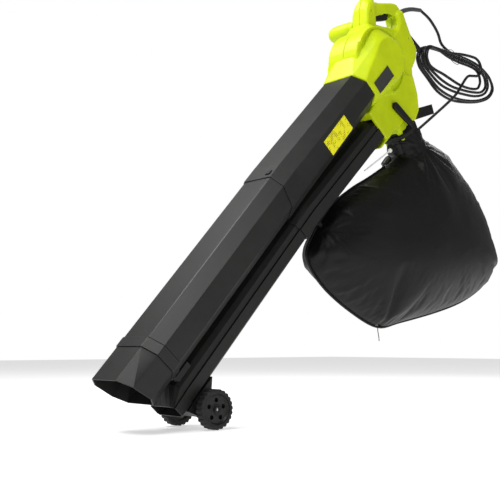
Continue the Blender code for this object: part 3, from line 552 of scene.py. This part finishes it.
def cord_route():
    """Sleeve, over to the hank, its turns side by side, across the near side and down to the plug."""
    route = list(LEAD)
    count = len(OUTER_TURN)
    for k, (size, lane) in enumerate(zip(TURN_SIZES, LANES)):
        following = LANES[min(k + 1, len(LANES) - 1)]
        for i, (outer, inner) in enumerate(zip(OUTER_TURN, INNER_TURN)):
            if k == 0 and i < 2:
                continue
            y = outer[0] + (inner[0] - outer[0]) * size
            z = outer[1] + (inner[1] - outer[1]) * size
            shift = max(0.0, (i - 12) / (count - 12))
            wave = 0.0012 * math.sin(1.7 * i + 2.1 * k)
            route.append((lane + (following - lane) * shift, y, z + wave))
    return [*route, *CROSSOVER, *TAIL]


def eased(points, least):
    """Points of a path whose bends are opened out to a least radius."""
    points = list(points)
    for _ in range(60):
        tight = []
        for k in range(3, len(points) - 3):
            a, b, c = points[k - 3], points[k], points[k + 3]
            area = (b - a).cross(c - a).length / 2
            if area > 1e-9 and (b - a).length * (c - b).length * (c - a).length / (4 * area) < least:
                tight.append(k)
        if not tight:
            break
        near = {j for k in tight for j in range(k - 3, k + 4) if 2 < j < len(points) - 3}
        points = [points[k].lerp((points[k - 1] + points[k + 1]) / 2, 0.5) if k in near else points[k]
                  for k in range(len(points))]
    return points


def make_cord():
    curve = bpy.data.curves.new("power_cord", "CURVE")
    curve.dimensions = "3D"
    curve.bevel_depth = CORD_D / 2
    curve.bevel_resolution = 3
    curve.use_fill_caps = True
    points = eased(smooth_route(cord_route(), 5), LEAST_BEND)
    spline = curve.splines.new("POLY")
    spline.points.add(len(points) - 1)
    for item, point in zip(spline.points, points):
        item.co = (*point, 1.0)
        item.radius = 1.0
    spline.use_smooth = True
    made = finished(bpy.data.objects.new("power_cord", curve), "cord")
    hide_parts("cord_lead", "cord_tail", "cord_hank")


# --- head ---------------------------------------------------------------------------------------
def ring_solid(centre, profile, start, end, count, into=None):
    """A profile of x and radius swept round X from start to end, in degrees."""
    rings = []
    full = abs(end - start) >= 359.9
    for i in range(count + (0 if full else 1)):
        t = math.radians(start + (end - start) * i / count)
        rings.append([
            Vector((x, centre.y + r * math.cos(t), centre.z + r * math.sin(t))) for x, r in profile])
    if full:
        rings.append(rings[0])
    return loft(rings, into, caps=not full)


def hull(points):
    shape = bmesh.new()
    for point in points:
        shape.verts.new(point)
    made = bmesh.ops.convex_hull(shape, input=shape.verts)
    bmesh.ops.delete(shape, geom=[v for v in made["geom_interior"] if isinstance(v, bmesh.types.BMVert)])
    return shape


def prism(outline, low, high):
    """A side view given in y and z, carried from one x to another."""
    return loft([[Vector((x, y, z)) for y, z in outline] for x in (low, high)])


def carved(shape, *cutters):
    """A solid with others taken out of it, as a bmesh."""
    made = bpy.data.objects.new("carving", bpy.data.meshes.new("carving"))
    bmesh.ops.recalc_face_normals(shape, faces=shape.faces)
    shape.to_mesh(made.data)
    shape.free()
    bpy.context.scene.collection.objects.link(made)
    tools = []
    for cutter in cutters:
        bmesh.ops.recalc_face_normals(cutter, faces=cutter.faces)
        tool = bpy.data.objects.new("cutter", bpy.data.meshes.new("cutter"))
        cutter.to_mesh(tool.data)
        cutter.free()
        bpy.context.scene.collection.objects.link(tool)
        step = made.modifiers.new("cut", "BOOLEAN")
        step.solver = "EXACT"
        step.object = tool
        tools.append(tool)
    settle(made)
    shape = bmesh.new()
    shape.from_mesh(made.data)
    for spent in (made, *tools):
        bpy.data.objects.remove(spent)
    return shape


def suction_ring(a, grow, drop):
    """The eight corners of the suction tube's section at a station."""
    hx, hn = 0.080 + grow, 0.054 + grow
    cx, cn = 0.031, 0.028
    top, low = hn - drop, -hn
    corners = ((hx, low + cn), (hx, top - cn), (hx - cx, top), (cx - hx, top),
               (-hx, top - cn), (-hx, low + cn), (cx - hx, low), (hx - cx, low))
    return [tube_point(x, a, 0.174 + n) for x, n in corners]


POST_SIDE = ((-0.094, -0.130), (-0.046, -0.130), (-0.046, 0.004), (-0.050, 0.018), (-0.060, 0.025),
             (-0.074, 0.020), (-0.087, 0.003), (-0.094, -0.022))


LOCK_MIDDLE = (0.030, 0.0065)         # y and z of the lock button
LOCK_WELL_R = 0.0076
COWL_SHOULDER = (
    (-0.042, -0.112, -0.098), (-0.050, -0.136, -0.150), (-0.062, -0.152, -0.205), (0.020, -0.128, -0.108),
    (0.030, -0.152, -0.160), (-0.010, -0.150, -0.150), (0.045, -0.105, -0.104))


def cowl_form():
    """The full outside of the inlet cowl: from the octagon of the tube round to the face of the drum."""
    points = []
    for a in (0.9684, 0.988):
        points += suction_ring(a, 0.0060, 0.012)
    for radius, x in ((0.070, 0.060), (0.066, 0.080), (0.056, 0.090)):
        points += [Vector((x, DRUM.y + u, DRUM.z + v)) for u, v in circle(radius, 40)]
    for x in (-0.031, 0.031):
        points += [Vector((x, -0.097, -0.070)), Vector((x, -0.084, -0.070))]
    points += [Vector(at) for at in COWL_SHOULDER]
    behind = prism(((-0.062, -0.14), (0.1, -0.14), (0.1, 0.0), (-0.062, 0.0)), -0.2, DRUM_FACE)
    under = prism([tuple(tube_point(0.0, a, n))[1:] for a, n in (
        (0.90, 0.0), (0.90, 0.1112), (1.30, 0.1177), (1.30, 0.0))], -0.2, 0.0500)
    return carved(hull(points), prism(POST_SIDE, -0.0312, 0.0312), behind, under)


def make_shells():
    left = copy_of("left_housing")
    rim = ((DRUM_FACE - 0.006, 0.0905), (DRUM_FACE + 0.0055, 0.0905), (DRUM_FACE + 0.0072, 0.0930),
           (DRUM_FACE + 0.0060, 0.0985), (DRUM_FACE - 0.006, 0.1000))
    ring_solid(DRUM, rim, -60.0, 160.0, 70, left)
    made = melted("left_shell", left, "lime_plastic", 0.0018, 5)
    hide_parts("left_housing")
    well = loft([
        [Vector((x, LOCK_MIDDLE[0] + p, LOCK_MIDDLE[1] + q)) for p, q in circle(LOCK_WELL_R, 32)]
        for x in (-0.050, -0.0035)])
    made = melted("right_shell", carved(copy_of("right_housing"), well), "lime_plastic", 0.0018, 5)
    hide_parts("right_housing")
    made = melted("inlet_cowl", cowl_form(), "lime_plastic", 0.0020, 8)
    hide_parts("inlet_hood")
    made = melted("side_grip", copy_of("aux_handle"), "lime_plastic", 0.0016, 8)
    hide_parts("aux_handle")


def make_hook():
    """The tapered fin that the bundle hangs from."""
    route = smooth_route((
        (0.0, 0.098, -0.044), (0.0, 0.122, -0.057), (0.0, 0.146, -0.070), (0.0, 0.168, -0.080),
        (0.0, 0.184, -0.086)), 5)
    radii = [0.0130 - 0.0060 * (k / (len(route) - 1)) ** 2.5 for k in range(len(route))]
    shape = rod(route, radii, 16)
    for vert in shape.verts:
        vert.co.x *= 0.8
    made = piece("hanging_fin", shape, "hard_black")
    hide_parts("cord_hook")


def make_tie():
    """A twisted wire round the top of the bundle, with two loose ends."""
    middle = Vector((0.0, 0.338, -0.0690))
    long, short = Vector((0.625, 0.0, -0.781)), Vector((0.781, 0.08, 0.625))
    loop = [middle + long * (0.0335 * p) + short * (0.0078 * q) for p, q in circle(1.0, 20)]
    rings = smooth_route(loop, 3, closed=True)
    shape = rod([*rings, rings[0]], 0.0009, 8)
    knot = middle - long * 0.0335
    for ahead in ((-0.004, -0.018, 0.006), (0.004, 0.024, 0.007)):
        end = knot + Vector(ahead)
        tip = end + Vector((0.002, ahead[1] * 0.5, -0.009))
        arch = knot + Vector(ahead) * 0.5 + Vector((0.0, 0.0, 0.005))
        rod(smooth_route((knot, arch, end, tip), 5), 0.0008, 8, shape)
    piece("wire_tie", shape, "hard_black", "frame")


# --- wheels -------------------------------------------------------------------------------------
def make_tyres():
    """Rubber treads of square blocks, each with the web that closes the wheel behind its slots."""
    for name, sign in (("left", 1.0), ("right", -1.0)):
        rings = []
        for i in range(120):
            t = 2 * math.pi * i / 120
            groove = 0.0 if i % 5 < 3 else 0.0022
            profile = ((0.0590, 0.0345), (0.0590, 0.0420 - groove * 0.6), (0.0615, 0.0450 - groove),
                       (0.0805, 0.0450 - groove), (0.0830, 0.0420 - groove * 0.6), (0.0830, 0.0345))
            rings.append([
                Vector((sign * x, AXLE.y + r * math.cos(t), AXLE.z + r * math.sin(t))) for x, r in profile])
        shape = loft([*rings, rings[0]], caps=False)
        web = [(sign * x, r) for x, r in (
            (0.0660, 0.0080), (0.0660, 0.0340), (0.0685, 0.0340), (0.0685, 0.0080))]
        ring_solid(AXLE, web, 0.0, 360.0, 60, shape)
        bmesh.ops.remove_doubles(shape, verts=shape.verts, dist=1e-6)
        made = piece(f"{name}_tread", shape, "rubber", f"{name}_wheel", smooth=False)
        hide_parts(f"{name}_tyre")


# --- bag ----------------------------------------------------------------------------------------
BAG_EDGE = (
    (0.145, -0.3570), (0.200, -0.366), (0.281, -0.392), (0.373, -0.470), (0.440, -0.549), (0.480, -0.623),
    (0.514, -0.706), (0.505, -0.735), (0.457, -0.787), (0.357, -0.836), (0.230, -0.872), (0.058, -0.907),
    (-0.039, -0.922), (-0.146, -0.882), (-0.248, -0.821), (-0.306, -0.755),
    (-0.297, -0.702), (-0.222, -0.606),
    (-0.142, -0.548), (-0.066, -0.506), (0.004, -0.464), (0.062, -0.425))
BAG_MIDDLE = (0.100, -0.660)
BAG_HALF_DEPTH = 0.122
SPOUT_FROM = Vector((0.0, 0.040, -0.308))
SPOUT_DOWN = Vector((0.0, 0.597, -0.802))
SPOUT_ACROSS = Vector((0.0, 0.802, 0.597))
NECK = (
    (0.040, 0.0420, 0.0490, 0.000), (0.046, 0.0425, 0.0495, 0.002), (0.053, 0.0405, 0.0475, 0.001),
    (0.061, 0.0405, 0.0470, 0.001), (0.070, 0.0445, 0.0510, 0.0025), (0.088, 0.0470, 0.0520, 0.0035),
    (0.115, 0.0470, 0.0480, 0.0030), (0.150, 0.0450, 0.0380, 0.002))
HOOK_AT = Vector((0.0, -0.272, -0.672))
NECK_AT = Vector((0.0, 0.120, -0.395))
GATHERS = ((NECK_AT, 0.20, 0.0056, 9.0, 3.1), (HOOK_AT, 0.15, 0.0042, 8.0, 7.7))
LARGEST_SWELL = 0.016                 # cap on how far the cloth may move


def neck_ring(s, half_x, half_n, ruffle, count=108):
    """One section of the gathered neck, square to the spout."""
    ring = []
    for p, q in circle(1.0, count):
        round_off = (abs(p) ** 3.4 + abs(q) ** 3.4) ** (-1 / 3.4)
        turn = math.atan2(q, p)
        fold = ruffle * (math.sin(12 * turn + 26 * s) + 0.6 * math.sin(7 * turn + 1.3)) * 0.62
        ring.append(SPOUT_FROM + SPOUT_DOWN * s + SIDE * (p * round_off * (half_x + fold))
                    + SPOUT_ACROSS * (q * round_off * (half_n + fold)))
    return ring


def pillow(edge, half_depth, steps=20):
    """Two panels sewn along an edge and blown out, less so towards the neck."""
    rings = []
    for k in range(steps + 1):
        t = k / steps
        swell = math.sqrt(max(0.0, 1.0 - (1.0 - t) ** 2.2))
        ring = []
        for point in edge:
            y = point.y + (BAG_MIDDLE[0] - point.y) * t * 0.985
            z = point.z + (BAG_MIDDLE[1] - point.z) * t * 0.985
            high = max(0.0, min(1.0, (z + 0.60) / 0.22))
            ring.append(Vector((half_depth * swell * (1.0 - 0.26 * high), y, z)))
        rings.append(ring)
    back = [[Vector((-p.x, p.y, p.z)) for p in ring] for ring in reversed(rings[1:])]
    return loft([*back, *rings])


def crease(vert):
    """How far the cloth stands off its smooth shape: folds drawn from the neck and the hook, and a dart."""
    total = 0.0
    side = math.copysign(1.0, vert.x)
    for at, reach, depth, folds, seed in GATHERS:
        away = vert - at
        distance = away.length
        turn = math.atan2(away.z, away.y)
        ripple = noise.noise(Vector((turn * folds * 0.55, 2.0 * side + seed, distance * 3.0)))
        ripple += 0.5 * noise.noise(Vector((turn * folds * 1.3, seed * 2.0 + 3.0 * side, distance * 6.0)))
        total += depth * ripple * 1.7 * math.exp(-(distance / reach) ** 1.6) * min(1.0, distance / 0.03)
    broad = noise.noise(Vector((vert.y * 5.2, vert.z * 5.2, 4.0 * side)))
    sharp = 1.0 - abs(noise.noise(Vector((vert.y * 8.0 + 5.0, vert.z * 13.0, 6.0 * side)))) * 2.6
    total += 0.0030 * broad + 0.0016 * max(0.0, sharp) ** 3
    dart = abs(vert.y + 0.040 + (vert.z + 0.922) * 0.10)
    rise = max(0.0, min(1.0, (-0.775 - vert.z) / 0.05))
    total *= min(1.0, abs(vert.x) / 0.020) if vert.z < -0.42 else 1.0
    return total - 0.0050 * rise * math.exp(-(dart / 0.007) ** 2)


def make_bag():
    """The collecting bag: pillow and gathered neck as one cloth, swollen by simulation."""
    edge = smooth_route([(0.0, y, z) for y, z in BAG_EDGE], 6, closed=True)
    shape = pillow(edge, BAG_HALF_DEPTH * 0.94)
    loft([neck_ring(*row) for row in NECK], shape)
    bmesh.ops.recalc_face_normals(shape, faces=shape.faces)
    made = bpy.data.objects.new("leaf_bag", bpy.data.meshes.new("leaf_bag"))
    shape.to_mesh(made.data)
    shape.free()
    bpy.context.scene.collection.objects.link(made)
    fuse = made.modifiers.new("fuse", "REMESH")
    fuse.mode = "VOXEL"
    fuse.voxel_size = 0.0055
    relax = made.modifiers.new("relax", "SMOOTH")
    relax.iterations = 7
    settle(made)
    start = made.data
    moved = [vert.co + vert.normal * crease(vert.co) for vert in start.vertices]
    for vert, at in zip(start.vertices, moved):
        vert.co = at
    swell_cloth(made)
    even = made.modifiers.new("even", "SMOOTH")
    even.iterations = 2
    finer = made.modifiers.new("finer", "SUBSURF")
    finer.levels = finer.render_levels = 1
    settle(made)
    finished(made, "bag_fabric")
    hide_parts("bag", "bag_collar")


def swell_cloth(made):
    """Twenty frames of cloth under pressure, held at the seam, the neck and the hook."""
    mesh = made.data
    rest = np.empty(len(mesh.vertices) * 3)
    mesh.vertices.foreach_get("co", rest)
    rest = rest.reshape(-1, 3)
    held = made.vertex_groups.new(name="held")
    for k, (x, y, z) in enumerate(rest):
        neck = (Vector((x, y, z)) - SPOUT_FROM).dot(SPOUT_DOWN)
        if abs(x) < 0.010 or (neck < 0.095 and z > -0.44) or (Vector((x, y, z)) - HOOK_AT).length < 0.018:
            held.add([k], 1.0, "REPLACE")
    cloth = made.modifiers.new("cloth", "CLOTH")
    settings = cloth.settings
    settings.quality = 5
    settings.mass = 0.25
    settings.use_pressure = True
    settings.uniform_pressure_force = 4.0
    settings.shrink_min = -0.004
    settings.bending_stiffness = 0.6
    settings.tension_stiffness = settings.compression_stiffness = 12.0
    settings.shear_stiffness = 4.0
    settings.vertex_group_mass = "held"
    settings.effector_weights.gravity = 0.0
    cloth.collision_settings.use_collision = False
    cloth.point_cache.frame_start, cloth.point_cache.frame_end = 1, 20
    scene = bpy.context.scene
    for moment in range(1, 21):
        scene.frame_set(moment)
    settle(made)
    scene.frame_set(1)
    after = np.empty(len(made.data.vertices) * 3)
    made.data.vertices.foreach_get("co", after)
    step = after.reshape(-1, 3) - rest
    far = np.linalg.norm(step, axis=1, keepdims=True)
    capped = rest + step * np.minimum(1.0, LARGEST_SWELL / np.maximum(far, 1e-9))
    made.data.vertices.foreach_set("co", capped.reshape(-1))
    made.data.update()


def make_trim():
    """Piping on the seam, the strap that draws the neck in, and the loose thread at the lowest corner."""
    edge = smooth_route([(0.0, y, z) for y, z in BAG_EDGE], 6, closed=True)
    route = [point for point in edge if point.z < -0.46 or point.y > 0.17]
    start = max(range(len(route)), key=lambda k: (route[k] - route[k - 1]).length)
    route = route[start:] + route[:start]
    piece("bag_piping", rod(route, 0.0036, 8), "bag_fabric")
    strap = [neck_ring(s, hx, hn, 0.0008) for s, hx, hn in (
        (0.0500, 0.0412, 0.0482), (0.0500, 0.0432, 0.0502),
        (0.0640, 0.0432, 0.0502), (0.0640, 0.0412, 0.0482))]
    piece("neck_band", loft([*strap, strap[0]], caps=False), "webbing")
    start, end = Vector((0.056, -0.037, -0.433)), Vector((0.056, -0.143, -0.504))
    ahead = (end - start).normalized()
    turns = [math.pi * (i + 0.5) / 9 for i in range(8)]
    path = [start - ahead * 0.0064 * math.cos(t) for t in turns] + [start + ahead * 0.0075, end]
    radii = [0.0064 * math.sin(t) for t in turns] + [0.0021, 0.0019]
    bead = piece("cord_end", rod(path, radii, 16), "white_plastic")
    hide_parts("zip_pull")
    tip = Vector((0.0, -0.037, -0.921))
    fall = ((0.0, 0.0, 0.0), (0.001, 0.0, -0.014), (0.003, 0.001, -0.028), (0.003, 0.002, -0.040))
    thread = [tip + Vector(step) for step in fall]
    piece("seam_thread", rod(smooth_route(thread, 4), 0.0011, 8), "webbing")


def look():
    view = bpy.context.scene.view_settings
    view.view_transform = "Standard"
    view.look = "None"


make_camera()
look()
make_cord()
make_lights()
make_stage()
dress_nodes()
make_shells()
make_hook()
make_tie()
make_tyres()
make_bag()
make_trim()
